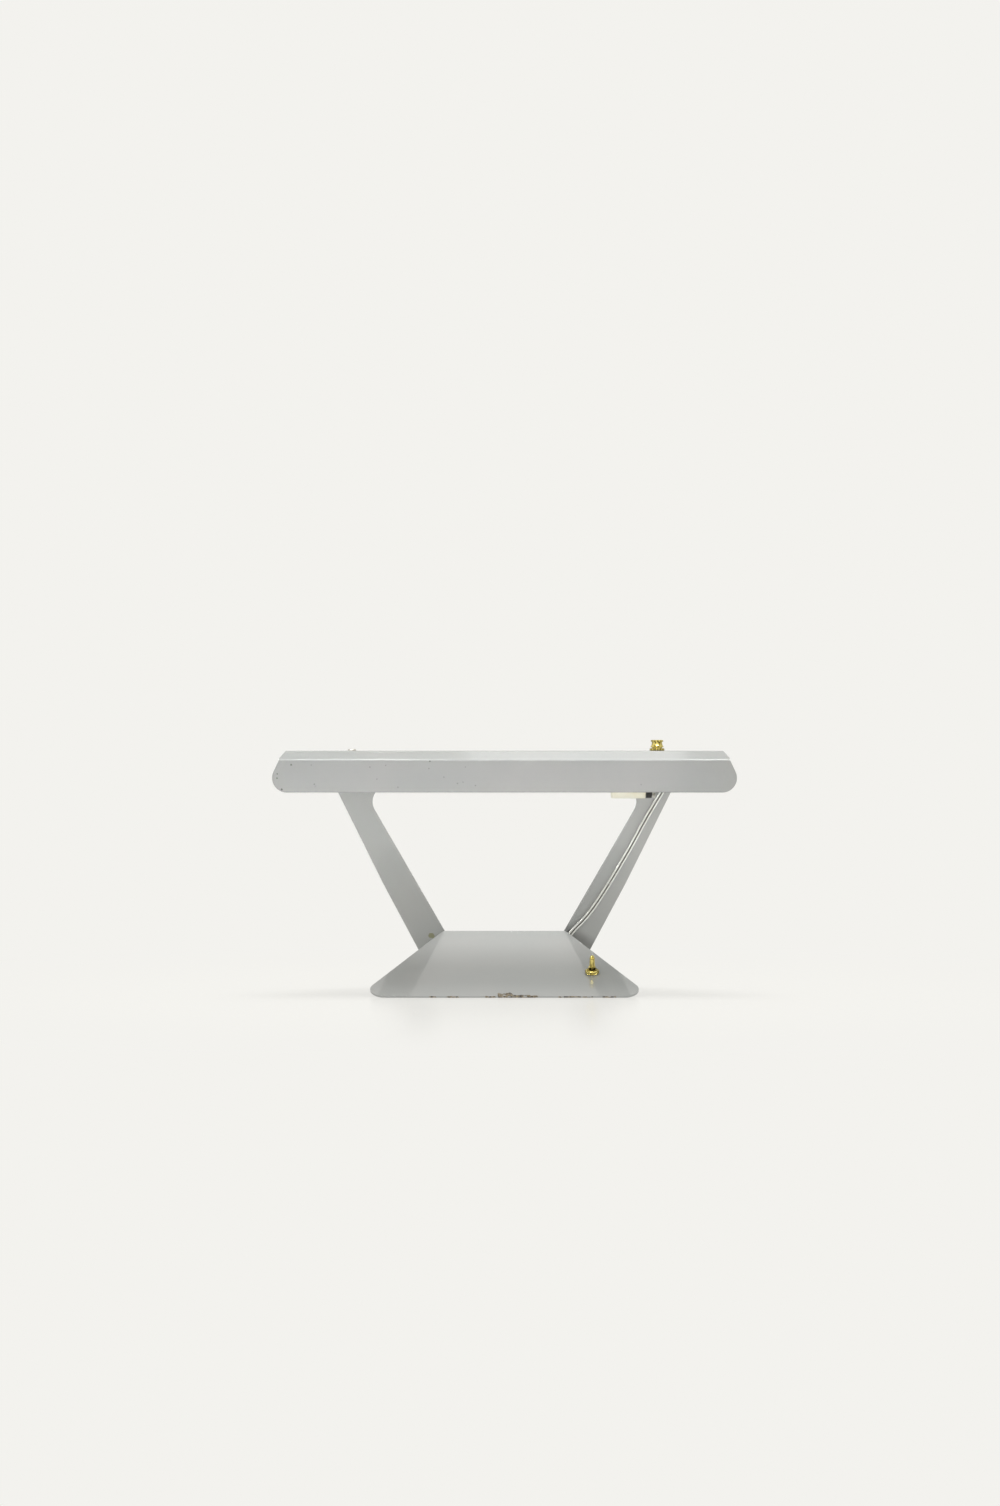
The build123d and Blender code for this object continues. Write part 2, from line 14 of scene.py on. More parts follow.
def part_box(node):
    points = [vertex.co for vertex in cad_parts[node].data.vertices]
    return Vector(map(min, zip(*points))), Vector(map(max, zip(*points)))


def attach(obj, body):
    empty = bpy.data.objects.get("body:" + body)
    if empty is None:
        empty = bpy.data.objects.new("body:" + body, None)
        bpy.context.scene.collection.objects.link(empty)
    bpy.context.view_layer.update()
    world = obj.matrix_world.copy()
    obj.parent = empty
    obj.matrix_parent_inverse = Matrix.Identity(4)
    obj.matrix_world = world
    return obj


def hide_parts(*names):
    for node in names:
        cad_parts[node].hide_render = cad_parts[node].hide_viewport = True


LOG = logging.getLogger("lamp")
MM = 0.001
Point = tuple[float, float, float]
Colour = tuple[float, float, float]

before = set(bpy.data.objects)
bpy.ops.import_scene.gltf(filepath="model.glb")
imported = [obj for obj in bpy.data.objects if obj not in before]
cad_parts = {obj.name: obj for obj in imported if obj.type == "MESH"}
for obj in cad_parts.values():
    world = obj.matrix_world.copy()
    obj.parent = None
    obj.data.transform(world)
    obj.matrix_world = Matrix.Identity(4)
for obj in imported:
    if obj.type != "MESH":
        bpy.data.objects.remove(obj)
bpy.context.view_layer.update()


# --- the sheet's geometry -------------------------------------------------


@dataclass(frozen=True)
class Fold:
    """Where the sheet's back and foot lie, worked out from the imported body."""

    lean: float = math.radians(25.0)
    slope: float = math.radians(20.3)
    height: float = 59.3 * MM

    @property
    def y(self) -> float:
        """Place of the fold line along Y."""
        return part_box("folded_body")[1][1] - self.height * math.tan(self.lean)

    def on_back(self, x: float, along: float, inward: float) -> Point:
        """A point given in millimetres in the back plate's own frame.

        Args:
            x: Place across the lamp.
            along: Length up the back from the fold.
            inward: Depth from the painted back face towards the front.

        Returns:
            The point in metres.
        """
        sine, cosine = math.sin(self.lean), math.cos(self.lean)
        return (
            x * MM,
            self.y - (along * sine + inward * cosine) * MM,
            self.height + (along * cosine - inward * sine) * MM,
        )

    def on_foot(self, x: float, along: float, inward: float) -> Point:
        """A point given in millimetres in the foot's own frame.

        Args:
            x: Place across the lamp.
            along: Length down the foot from the fold.
            inward: Depth below the foot's painted face.

        Returns:
            The point in metres.
        """
        sine, cosine = math.sin(self.slope), math.cos(self.slope)
        return (
            x * MM,
            self.y - (along * cosine - inward * sine) * MM,
            self.height - (along * sine + inward * cosine) * MM,
        )


FOLD = Fold()


def middle(node: str) -> Vector:
    """Middle of a CAD node's box."""
    low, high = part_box(node)
    return (Vector(low) + Vector(high)) / 2


# --- shader graphs ----------------------------------------------------------


class Value:
    """A number in a shader, with the arithmetic that Math nodes give."""

    def __init__(self, graph: "Graph", socket: bpy.types.NodeSocket) -> None:
        """Wrap one output socket of a graph."""
        self.graph = graph
        self.socket = socket

    def _maths(self, operation: str, *terms: "Value | float") -> "Value":
        """One Math node on this graph."""
        return self.graph.value("ShaderNodeMath", {"operation": operation}, dict(enumerate(terms)))

    def __add__(self, other: "Value | float") -> "Value":
        """Sum."""
        return self._maths("ADD", self, other)

    __radd__ = __add__

    def __sub__(self, other: "Value | float") -> "Value":
        """Difference."""
        return self._maths("SUBTRACT", self, other)

    def __rsub__(self, other: "Value | float") -> "Value":
        """Difference from a number."""
        return self._maths("SUBTRACT", other, self)

    def __mul__(self, other: "Value | float") -> "Value":
        """Product."""
        return self._maths("MULTIPLY", self, other)

    __rmul__ = __mul__

    def __truediv__(self, other: "Value | float") -> "Value":
        """Quotient."""
        return self._maths("DIVIDE", self, other)

    def __pow__(self, other: float) -> "Value":
        """Power."""
        return self._maths("POWER", self, other)

    def absolute(self) -> "Value":
        """Size without its sign."""
        return self._maths("ABSOLUTE", self)

    def sine(self) -> "Value":
        """Sine of the number in radians."""
        return self._maths("SINE", self)

    def larger(self, other: "Value | float") -> "Value":
        """The larger of two."""
        return self._maths("MAXIMUM", self, other)

    def ramp(self, low: float, high: float) -> "Value":
        """A smooth step from 0 at low to 1 at high, or down where low is the higher.

        Args:
            low: The number that gives 0.
            high: The number that gives 1.

        Returns:
            The step.
        """
        settings = {"interpolation_type": "SMOOTHSTEP", "clamp": True}
        if low <= high:
            stops = {"From Min": low, "From Max": high, "To Min": 0.0, "To Max": 1.0}
        else:
            stops = {"From Min": high, "From Max": low, "To Min": 1.0, "To Max": 0.0}
        return self.graph.value("ShaderNodeMapRange", settings, {"Value": self, **stops})


class Graph:
    """One material's node tree, ending in a Principled shader."""

    def __init__(self, name: str) -> None:
        """Start a material with nothing but its output."""
        self.material = bpy.data.materials.new(name)
        self.material.use_nodes = True
        self.tree = self.material.node_tree
        self.tree.nodes.clear()
        self._place: bpy.types.Node | None = None

    def node(self, kind: str, settings: dict | None = None, sockets: dict | None = None) -> bpy.types.Node:
        """Add a node.

        Args:
            kind: The node's type.
            settings: Its own settings, set first.
            sockets: Values or links by socket name or number.

        Returns:
            The node.
        """
        made = self.tree.nodes.new(kind)
        for key, setting in (settings or {}).items():
            setattr(made, key, setting)
        for key, given in (sockets or {}).items():
            socket = made.inputs[key]
            if isinstance(given, Value):
                self.tree.links.new(given.socket, socket)
            elif isinstance(given, bpy.types.NodeSocket):
                self.tree.links.new(given, socket)
            elif isinstance(given, tuple) and socket.type == "RGBA" and len(given) == 3:
                socket.default_value = (*given, 1.0)
            else:
                socket.default_value = given
        return made

    def value(self, kind: str, settings: dict, sockets: dict, output: int | str = 0) -> Value:
        """Add a node and wrap one of its outputs as a number."""
        return Value(self, self.node(kind, settings, sockets).outputs[output])

    @property
    def place(self) -> bpy.types.NodeSocket:
        """Object coordinates."""
        if self._place is None:
            self._place = self.node("ShaderNodeTexCoord")
        return self._place.outputs["Object"]

    def axes(self) -> tuple[Value, Value, Value]:
        """The three Object coordinates as numbers."""
        split = self.node("ShaderNodeSeparateXYZ", None, {"Vector": self.place})
        return Value(self, split.outputs[0]), Value(self, split.outputs[1]), Value(self, split.outputs[2])

    def noise(self, scale: float, detail: float = 3.0, stretch: Point = (1.0, 1.0, 1.0)) -> Value:
        """Noise on Object coordinates.

        Args:
            scale: Lumps per metre.
            detail: Octaves.
            stretch: Scale along each axis.

        Returns:
            The noise, from 0 to 1.
        """
        mapped = self.node("ShaderNodeMapping", None, {"Vector": self.place, "Scale": stretch})
        sockets = {"Vector": mapped.outputs[0], "Scale": scale, "Detail": detail}
        return self.value("ShaderNodeTexNoise", {}, sockets)

    def near(self, point: Point, radius: float, rough: float = 0.35) -> Value:
        """A ragged spot about a point, 1 inside and 0 outside.

        Args:
            point: The spot's middle.
            radius: Its size.
            rough: How far its edge wanders, as a share of its size.

        Returns:
            The spot's mask.
        """
        gap = self.value(
            "ShaderNodeVectorMath", {"operation": "DISTANCE"}, {0: self.place, 1: point}, "Value"
        )
        wander = (self.noise(1.4 / radius, 4.0) - 0.5) * (2.6 * rough * radius)
        return (gap + wander).ramp(radius, radius * 0.72)

    def blend(self, share: Value | float, first: "Colour | bpy.types.NodeSocket",
              second: "Colour | bpy.types.NodeSocket") -> bpy.types.NodeSocket:
        """Mix two colours.

        Args:
            share: How much of the second.
            first: A colour or a link.
            second: A colour or a link.

        Returns:
            The mixed colour's socket.
        """
        mixed = self.node(
            "ShaderNodeMix",
            {"data_type": "RGBA"},
            {"Factor": share, 6: first, 7: second},
        )
        return mixed.outputs[2]

    def bump(self, height: Value, strength: float, distance: float) -> bpy.types.NodeSocket:
        """A Bump node's normal."""
        sockets = {"Height": height, "Strength": strength, "Distance": distance}
        return self.node("ShaderNodeBump", None, sockets).outputs[0]

    def finish(self, **sockets: object) -> bpy.types.Material:
        """Close the graph with a Principled shader.

        Args:
            sockets: Its inputs, with underscores for spaces.

        Returns:
            The material.
        """
        named = {key.replace("_", " "): given for key, given in sockets.items()}
        shader = self.node("ShaderNodeBsdfPrincipled", None, named)
        self.node("ShaderNodeOutputMaterial", None, {"Surface": shader.outputs[0]})
        return self.material


# --- finishes ----------------------------------------------------------------


@dataclass(frozen=True)
class Chip:
    """A chip in the paint, in millimetres."""

    x: float
    z: float
    size: float
    depth: float = 1.0


@dataclass(frozen=True)
class Flake:
    """A length of the foot's front edge where the paint has flaked, in millimetres."""

    low: float
    high: float
    reach: float


@dataclass(frozen=True)
class PaintFinish:
    """Pale grey stoving enamel on steel, chipped on its lip and rusted at its edges, with painted shade in
    the right arm's corner behind the foot and along the lip's bottom edge.
    """

    colour: Colour = (0.352, 0.356, 0.348)
    shade: Colour = (0.328, 0.342, 0.336)
    rust: Colour = (0.27, 0.215, 0.13)
    bare: Colour = (0.026, 0.020, 0.014)
    grease: Colour = (0.19, 0.19, 0.07)
    chip: Colour = (0.10, 0.115, 0.095)
    lip_chips: tuple[Chip, ...] = (
        Chip(-213.0, 233.0, 0.8, 0.9),
        Chip(-193.0, 232.8, 0.6, 0.4),
        Chip(-227.0, 224.0, 0.5),
        Chip(-227.2, 219.7, 0.6),
        Chip(-222.5, 208.4, 0.8),
        Chip(-190.0, 213.6, 0.6, 0.6),
        Chip(-189.0, 211.6, 0.9, 0.2),
        Chip(-134.5, 230.8, 0.6, 0.5),
        Chip(-118.6, 232.5, 0.5, 0.5),
        Chip(-127.5, 218.8, 0.5, 0.5),
        Chip(-106.5, 210.6, 0.6, 0.5),
        Chip(-74.5, 236.6, 0.8, 0.9),
        Chip(-75.5, 229.3, 0.6, 0.5),
        Chip(-60.6, 220.6, 0.7, 0.35),
        Chip(-47.0, 214.5, 0.8, 0.45),
        Chip(-41.5, 215.8, 0.6, 0.35),
        Chip(-39.0, 231.0, 0.6, 0.4),
        Chip(-29.0, 212.4, 0.6, 0.5),
        Chip(125.5, 241.6, 0.8, 0.9),
        Chip(136.5, 213.2, 0.6, 0.35),
        Chip(228.0, 232.0, 0.5, 0.7),
    )
    foot_flakes: tuple[Flake, ...] = (
        Flake(-75.0, -68.0, 1.9),
        Flake(-58.0, -46.0, 2.0),
        Flake(-19.0, -9.0, 2.6),
        Flake(-7.0, 8.0, 6.0),
        Flake(6.0, 26.0, 3.6),
        Flake(20.0, 34.0, 3.0),
        Flake(54.0, 89.0, 2.0),
        Flake(98.0, 112.0, 2.2),
    )

    def foot_wear(self, graph: "Graph", x: Value, z: Value) -> Value:
        """Where the paint has flaked off the foot's front edge.

        Args:
            graph: The paint's graph.
            x: The place across.
            z: The height.

        Returns:
            The mask.
        """
        worn: Value | None = None
        for flake in self.foot_flakes:
            across = x.ramp((flake.low - 1.5) * MM, (flake.low + 1.0) * MM)
            across = across * x.ramp((flake.high + 1.5) * MM, (flake.high - 1.0) * MM)
            part = across * z.ramp(flake.reach * MM, (flake.reach * 0.55) * MM)
            worn = part if worn is None else worn.larger(part)
        ragged = graph.noise(420.0, 5.0, (0.7, 0.5, 1.0))
        return (worn * 0.40 + ragged).ramp(0.80, 0.86)

    def corner_painted_shade(self, graph: "Graph", x: Value, y: Value, z: Value) -> Value:
        """Painted shade on the front of the right arm, in the corner behind the foot's edge.

        Args:
            graph: The paint's graph.
            x: The place across.
            y: The place in depth.
            z: The height.

        Returns:
            The mask.
        """
        sine, cosine = math.sin(FOLD.lean), math.cos(FOLD.lean)
        inward = (z - FOLD.height) * -sine - (y - FOLD.y) * cosine
        fall, corner = 0.58, 62.5 * MM
        above = x * fall + z - (FOLD.height + fall * corner)
        depth = above.ramp(13.0 * MM, -3.0 * MM) * above.ramp(-30.0 * MM, -18.0 * MM)
        inside = inward.ramp(0.9 * MM, 1.2 * MM) * inward.ramp(2.4 * MM, 1.8 * MM)
        return depth * inside * x.ramp(62.0 * MM, 64.5 * MM) * (graph.noise(90.0, 4.0) * 0.5 + 0.4)

    def build(self) -> bpy.types.Material:
        """Make the material.

        Returns:
            The painted sheet's material.
        """
        graph = Graph("stoved_enamel")
        x, y, z = graph.axes()
        low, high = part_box("folded_body")
        mottle = graph.noise(9.0, 4.0)
        fine = graph.noise(1400.0, 2.0)
        colour = graph.blend(mottle.ramp(0.3, 0.7), self.colour, self.shade)
        grime = graph.noise(60.0, 5.0).ramp(0.60, 0.80) * 0.10
        colour = graph.blend(grime, colour, (0.27, 0.27, 0.23))

        chips: Value | None = None
        for chip in self.lip_chips:
            spot = graph.near((chip.x * MM, low[1], chip.z * MM), (chip.size + 0.3) * MM, 0.55) * chip.depth
            chips = spot if chips is None else chips.larger(spot)
        foot_wear = self.foot_wear(graph, x, z) * y.ramp(low[1] + 17.0 * MM, low[1] + 14.0 * MM)
        on_lip = y.ramp(low[1] + 3.0 * MM, low[1] + 1.6 * MM)
        # Painted shade: a thin ragged dark line along the lip's bottom edge.
        lip_edge = z.ramp(206.3 * MM, 205.6 * MM) * on_lip
        lip_edge_shade = lip_edge * (graph.noise(90.0, 4.0) * 0.45 + 0.35)
        stain = graph.near(FOLD.on_back(-76.0, -6.0, 1.5), 3.6 * MM)
        # Mask of the painted shade in the right arm's corner behind the foot.
        corner = self.corner_painted_shade(graph, x, y, z)
        colour = graph.blend(stain * 0.8, colour, self.grease)
        # Paint that shade, dark grey, into the right arm's corner.
        colour = graph.blend(corner, colour, (0.10, 0.10, 0.092))
        # The real chips and the painted shade line along the lip's bottom edge both take the chip colour.
        colour = graph.blend(chips.larger(lip_edge_shade), colour, self.chip)
        rust_tint = graph.blend(graph.noise(620.0, 3.0).ramp(0.47, 0.53), self.rust, self.bare)
        colour = graph.blend(foot_wear * 0.95, colour, rust_tint)
        worn = foot_wear.larger(chips)

        orange_peel = graph.noise(420.0, 2.0)
        height = orange_peel * 0.4 + fine * 0.10 - worn * 1.4
        rough = mottle * 0.06 + 0.40 + worn * 0.4 + stain * 0.2
        return graph.finish(
            Base_Color=colour,
            Roughness=rough,
            Coat_Weight=0.95 - worn * 0.8,
            Coat_Roughness=0.05,
            Normal=graph.bump(height, 0.06, 0.12 * MM),
        )


@dataclass(frozen=True)
class MetalFinish:
    """Bare metal with patina in its hollows and fine turning or rolling marks; on brass, dark streaks are a
    painted reflection and a dark spot is painted shade.
    """

    name: str
    colour: Colour
    tarnish_and_shade: Colour
    roughness: float
    spots: float = 0.35
    # Strength of dark streaks along Z: a painted reflection.
    reflection_streaks: float = 0.0
    # Middle of a dark spot of painted shade, if any.
    painted_shade_spot: Point | None = None
    grain: Point = (1.0, 1.0, 1.0)

    def build(self) -> bpy.types.Material:
        """Make the material.

        Returns:
            The metal's material.
        """
        graph = Graph(self.name)
        cloud = graph.noise(160.0, 5.0)
        grain = graph.noise(1600.0, 2.0, self.grain)
        # Dark streaks along Z are a painted reflection; the clouds are tarnish and, on brass, painted
        # reflection as well.
        reflection_streaks = graph.noise(800.0, 3.0, (1.0, 1.0, 0.12)).ramp(0.47, 0.55) * self.reflection_streaks
        tarnish_and_shade_mask = (cloud.ramp(0.46, 0.72) * self.spots).larger(reflection_streaks)
        # A dark spot of painted shade.
        if self.painted_shade_spot is not None:
            tarnish_and_shade_mask = tarnish_and_shade_mask.larger(graph.near(self.painted_shade_spot, 2.4 * MM, 0.1))
        colour = graph.blend(tarnish_and_shade_mask, self.colour, self.tarnish_and_shade)
        rough = tarnish_and_shade_mask * 0.30 + grain * 0.10 + self.roughness
        return graph.finish(
            Base_Color=colour,
            Metallic=1.0,
            Roughness=rough,
            Normal=graph.bump(grain, 0.10, 0.05 * MM),
        )


@dataclass(frozen=True)
class MouldedFinish:
    """A moulded plastic, rubber or varnish with a fine skin and a little yellowing."""

    name: str
    colour: Colour
    aged: Colour
    roughness: float
    texture: float = 0.10
    coat: float = 0.0

    def build(self) -> bpy.types.Material:
        """Make the material.

        Returns:
            The moulding's material.
        """
        graph = Graph(self.name)
        cloud = graph.noise(70.0, 5.0)
        skin = graph.noise(1800.0, 2.0)
        colour = graph.blend(cloud.ramp(0.35, 0.75), self.colour, self.aged)
        return graph.finish(
            Base_Color=colour,
            Roughness=cloud * 0.12 + self.roughness,
            Coat_Weight=self.coat,
            Coat_Roughness=0.12,
            Normal=graph.bump(skin, self.texture, 0.05 * MM),
        )


@dataclass(frozen=True)
class PhosphorFinish:
    """The white powder seen through the tube's glass, greyed near each cap."""

    colour: Colour = (0.86, 0.87, 0.86)
    burnt: Colour = (0.20, 0.18, 0.16)

    def build(self) -> bpy.types.Material:
        """Make the material.

        Returns:
            The tube's material.
        """
        graph = Graph("phosphor_glass")
        x, _, _ = graph.axes()
        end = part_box("tube_glass")[1][0]
        powder = graph.noise(420.0, 4.0)
        burn = (x.absolute() + (graph.noise(130.0, 4.0) - 0.5) * 0.012).ramp(end - 26 * MM, end - 8 * MM)
        colour = graph.blend(powder.ramp(0.3, 0.8) * 0.12, self.colour, (0.74, 0.76, 0.75))
        colour = graph.blend(burn * 0.55, colour, self.burnt)
        return graph.finish(
            Base_Color=colour,
            Roughness=powder * 0.04 + 0.10,
            Coat_Weight=0.6,
            Coat_Roughness=0.03,
        )


@dataclass(frozen=True)
class FlexFinish:
    """Pale flex with painted shade in the groove between its cores and, half as dark, along the flank
    towards the arm.
    """

    colour: Colour = (0.82, 0.83, 0.80)
    aged: Colour = (0.72, 0.72, 0.67)
    painted_shade_colour: Colour = (0.13, 0.125, 0.11)

    def build(self) -> bpy.types.Material:
        """Make the material.

        Returns:
            The flex's material.
        """
        graph = Graph("pale_flex")
        groove = graph.value("ShaderNodeAttribute", {"attribute_name": "groove"}, {}, "Fac")
        cloud = graph.noise(70.0, 5.0)
        colour = graph.blend(cloud.ramp(0.35, 0.75), self.colour, self.aged)
        # Painted shade in the groove between the cores and along the flank towards the arm.
        colour = graph.blend(groove, colour, self.painted_shade_colour)
        return graph.finish(
            Base_Color=colour,
            Roughness=cloud * 0.12 + 0.30 + groove * 0.3,
            Coat_Weight=0.15,
            Coat_Roughness=0.12,
            Normal=graph.bump(graph.noise(1800.0, 2.0), 0.08, 0.05 * MM),
        )


@dataclass(frozen=True)
class StackFinish:
    """Varnished iron laminations, with their edges as fine lines."""

    def build(self) -> bpy.types.Material:
        """Make the material.

        Returns:
            The choke core's material.
        """
        graph = Graph("laminations")
        _, y, z = graph.axes()
        sine, cosine = math.sin(FOLD.lean), math.cos(FOLD.lean)
        across = (y * cosine + z * sine) * (2.0 * math.pi / (0.7 * MM))
        lines = across.sine() * 0.5 + 0.5
        colour = graph.blend(lines.ramp(0.55, 0.85), (0.035, 0.033, 0.035), (0.12, 0.11, 0.105))
        return graph.finish(
            Base_Color=colour,
            Metallic=0.4,
            Roughness=graph.noise(300.0, 4.0) * 0.25 + 0.30,
            Normal=graph.bump(lines, 0.35, 0.12 * MM),
        )


class Finish(Enum):
    """The finishes that the lamp's pieces take."""

    PAINT = "paint"
    PHOSPHOR = "tube_glass"
    ALUMINIUM = "aluminium"
    BRASS = "brass"
    WHITE = "white_plastic"
    CREAM = "cream_plastic"
    BLACK = "black_plastic"
    STEEL = "steel"
    STACK = "lamination"
    WINDING = "winding"
    RUBBER = "rubber"
    FLEX = "flex"
    LEAD = "lead"


SWITCH_X = 89.0
SWITCH_ALONG = 110.0

BUILDERS = {
    Finish.PAINT: PaintFinish(),
    Finish.PHOSPHOR: PhosphorFinish(),
    Finish.ALUMINIUM: MetalFinish("satin_aluminium", (0.72, 0.73, 0.74), (0.42, 0.42, 0.42), 0.30),
    # On the brass, the streaks and the dark spot at the switch lever's rounded tip are painted reflection
    # and painted shade.
    Finish.BRASS: MetalFinish(
        "aged_brass", (0.80, 0.67, 0.22), (0.11, 0.085, 0.02), 0.14, spots=0.6, reflection_streaks=0.85,
        painted_shade_spot=FOLD.on_foot(SWITCH_X, SWITCH_ALONG + 3.5, -16.6),
    ),
    Finish.WHITE: MouldedFinish("ivory_urea", (0.80, 0.78, 0.71), (0.70, 0.66, 0.55), 0.38),
    Finish.CREAM: MouldedFinish("cream_starter", (0.80, 0.78, 0.66), (0.72, 0.68, 0.50), 0.30, 0.06, 0.2),
    Finish.BLACK: MouldedFinish("black_phenolic", (0.008, 0.008, 0.008), (0.018, 0.016, 0.014), 0.34, 0.08),
    Finish.STEEL: MetalFinish("zinc_plate", (0.62, 0.61, 0.57), (0.30, 0.27, 0.20), 0.30, 0.5),
    Finish.STACK: StackFinish(),
    Finish.WINDING: MouldedFinish(
        "varnished_winding", (0.30, 0.13, 0.045), (0.16, 0.07, 0.03), 0.30, 0.3, 0.5
    ),
    Finish.RUBBER: MouldedFinish("black_rubber", (0.025, 0.025, 0.025), (0.05, 0.048, 0.045), 0.62, 0.2),
    Finish.FLEX: FlexFinish(),
    Finish.LEAD: MouldedFinish("lead_sleeve", (0.66, 0.66, 0.63), (0.56, 0.54, 0.47), 0.42, 0.10),
}


class Wardrobe:
    """Makes each finish once and puts it on pieces."""

    def __init__(self) -> None:
        """Build every finish."""
        self.made = {finish: BUILDERS[finish].build() for finish in Finish}

    def dress(self, piece: bpy.types.Object, finish: Finish) -> None:
        """Give a piece its finish.

        Args:
            piece: The object.
            finish: What it wears.
        """
        piece.data.materials.clear()
        piece.data.materials.append(self.made[finish])

    def dress_nodes(self, finish: Finish, *nodes: str) -> None:
        """Give CAD nodes their finish."""
        for node in nodes:
            self.dress(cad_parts[node], finish)


# --- modelling helpers ---------------------------------------------------------


def rest_all() -> None:
    """Leave edit mode and deselect everything."""
    if bpy.context.object and bpy.context.object.mode != "OBJECT":
        bpy.ops.object.mode_set(mode="OBJECT")
    bpy.ops.object.select_all(action="DESELECT")


def take(piece: bpy.types.Object) -> None:
    """Make a piece the only selected and active one."""
    rest_all()
    piece.select_set(True)
    bpy.context.view_layer.objects.active = piece


def settle(piece: bpy.types.Object, smooth: float = 35.0) -> None:
    """Apply a piece's place, turn its faces outwards and smooth it.

    Args:
        piece: The object.
        smooth: Angle in degrees above which an edge stays sharp.
    """
    take(piece)
    bpy.ops.object.transform_apply(location=True, rotation=True, scale=True)
    bpy.ops.object.mode_set(mode="EDIT")
    bpy.ops.mesh.select_all(action="SELECT")
    bpy.ops.mesh.remove_doubles(threshold=0.002 * MM)
    bpy.ops.mesh.normals_make_consistent(inside=False)
    bpy.ops.object.mode_set(mode="OBJECT")
    bpy.ops.object.shade_smooth_by_angle(angle=math.radians(smooth))


def turned(
    name: str, profile: list[tuple[float, float]], sides: int = 64, closed: bool = False
) -> bpy.types.Object:
    """A piece turned about its Z axis, ring after ring.

    Args:
        name: The piece's name.
        profile: Radius and height of each ring, in millimetres.
        sides: How many sides each ring has.
        closed: Whether the profile runs back to its start, as round a bore.

    Returns:
        The object, standing on the origin.
    """
    rest_all()
    radius, height = profile[0]
    fill = "NOTHING" if closed else "NGON"
    bpy.ops.mesh.primitive_circle_add(
        vertices=sides, radius=radius * MM, fill_type=fill, location=(0, 0, 0)
    )
    piece = bpy.context.object
    piece.name = name
    piece.data.name = name
    bpy.ops.object.mode_set(mode="EDIT")
    bpy.ops.mesh.select_all(action="SELECT")
    bpy.ops.transform.translate(value=(0, 0, height * MM))
    rings = profile[1:] + ([profile[0]] if closed else [])
    for next_radius, next_height in rings:
        if closed:
            bpy.ops.mesh.extrude_edges_move()
        else:
            bpy.ops.mesh.extrude_region_move()
        bpy.ops.transform.translate(value=(0, 0, (next_height - height) * MM))
        scale = next_radius / radius
        bpy.ops.transform.resize(value=(scale, scale, 1), center_override=(0, 0, next_height * MM))
        radius, height = next_radius, next_height
    bpy.ops.object.mode_set(mode="OBJECT")
    return piece


def flute(
    piece: bpy.types.Object, low: float, high: float, radius: float, share: float, every: int = 2
) -> None:
    """Press every so many sides of a turned rim inwards, as a knurl.

    Args:
        piece: A turned piece, before it is placed.
        low: Lowest height of the rim in millimetres.
        high: Highest height of the rim in millimetres.
        radius: Least radius of the rim's points in millimetres.
        share: What the pressed points keep of their radius.
        every: Spacing of the grooves, in sides.
    """
    for vertex in piece.data.vertices:
        x, y, z = vertex.co
        if not low * MM <= z <= high * MM or math.hypot(x, y) < radius * MM:
            continue
        sides = round(math.atan2(y, x) / (2 * math.pi) * piece["sides"])
        if sides % every == 0:
            vertex.co.x *= share
            vertex.co.y *= share


def stand(piece: bpy.types.Object, place: Point, along: Vector) -> None:
    """Move a piece so that its Z axis points along a direction.

    Args:
        piece: The object.
        place: Where its origin goes.
        along: Where its Z axis points.
    """
    turn = Vector((0, 0, 1)).rotation_difference(along).to_matrix().to_4x4()
    piece.matrix_world = Matrix.Translation(place) @ turn


def bevel_edges(piece: bpy.types.Object, width: float, angle: float = 40.0, segments: int = 2) -> None:
    """Round a piece's sharp edges with a Bevel modifier and apply it.

    Args:
        piece: The object.
        width: Width of the bevel in millimetres.
        angle: Least angle of an edge that is rounded, in degrees.
        segments: Segments across the bevel.
    """
    take(piece)
    bevel = piece.modifiers.new("rounding", "BEVEL")
    bevel.width = width * MM
    bevel.segments = segments
    bevel.limit_method = "ANGLE"
    bevel.angle_limit = math.radians(angle)
    bevel.harden_normals = False
    bpy.ops.object.modifier_apply(modifier=bevel.name)


def copy_of(node: str, name: str) -> bpy.types.Object:
    """A loose copy of a CAD node's mesh, merged into whole faces.

    Args:
        node: The CAD node.
        name: The new piece's name.

    Returns:
        The new object.
    """
    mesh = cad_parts[node].data.copy()
    mesh.name = name
    piece = bpy.data.objects.new(name, mesh)
    bpy.context.scene.collection.objects.link(piece)
    take(piece)
    bpy.ops.object.mode_set(mode="EDIT")
    bpy.ops.mesh.select_all(action="SELECT")
    bpy.ops.mesh.remove_doubles(threshold=0.001 * MM)
    bpy.ops.mesh.dissolve_limited(angle_limit=math.radians(0.5))
    bpy.ops.object.mode_set(mode="OBJECT")
    return piece


def place_piece(
    piece: bpy.types.Object, body: str, finish: Finish, wardrobe: Wardrobe, *nodes: str
) -> None:
    """Dress a finished piece, put it on its body and let it stand for its nodes.

    Args:
        piece: The finished object.
        body: The CAD body that it moves with.
        finish: What it wears.
        wardrobe: The finishes.
        nodes: The CAD nodes that it replaces.
    """
    wardrobe.dress(piece, finish)
    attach(piece, body)
    if nodes:
        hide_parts(*nodes)


# --- the painted sheet -------------------------------------------------------------


@dataclass
class PaintedSheet:
    """The folded sheet, with its cut edges eased by the paint."""

    edge: float = 0.42

    def build(self, wardrobe: Wardrobe) -> None:
        """Model and dress the sheet.

        Args:
            wardrobe: The finishes.
        """
        piece = copy_of("folded_body", "painted_sheet")
        bevel_edges(piece, self.edge, 50.0, 3)
        take(piece)
        bpy.ops.object.shade_smooth_by_angle(angle=math.radians(32))
        weighted = piece.modifiers.new("flat faces", "WEIGHTED_NORMAL")
        weighted.keep_sharp = True
        bpy.ops.object.modifier_apply(modifier=weighted.name)
        place_piece(piece, "lamp", Finish.PAINT, wardrobe, "folded_body")


# --- brass on the top ------------------------------------------------------------------


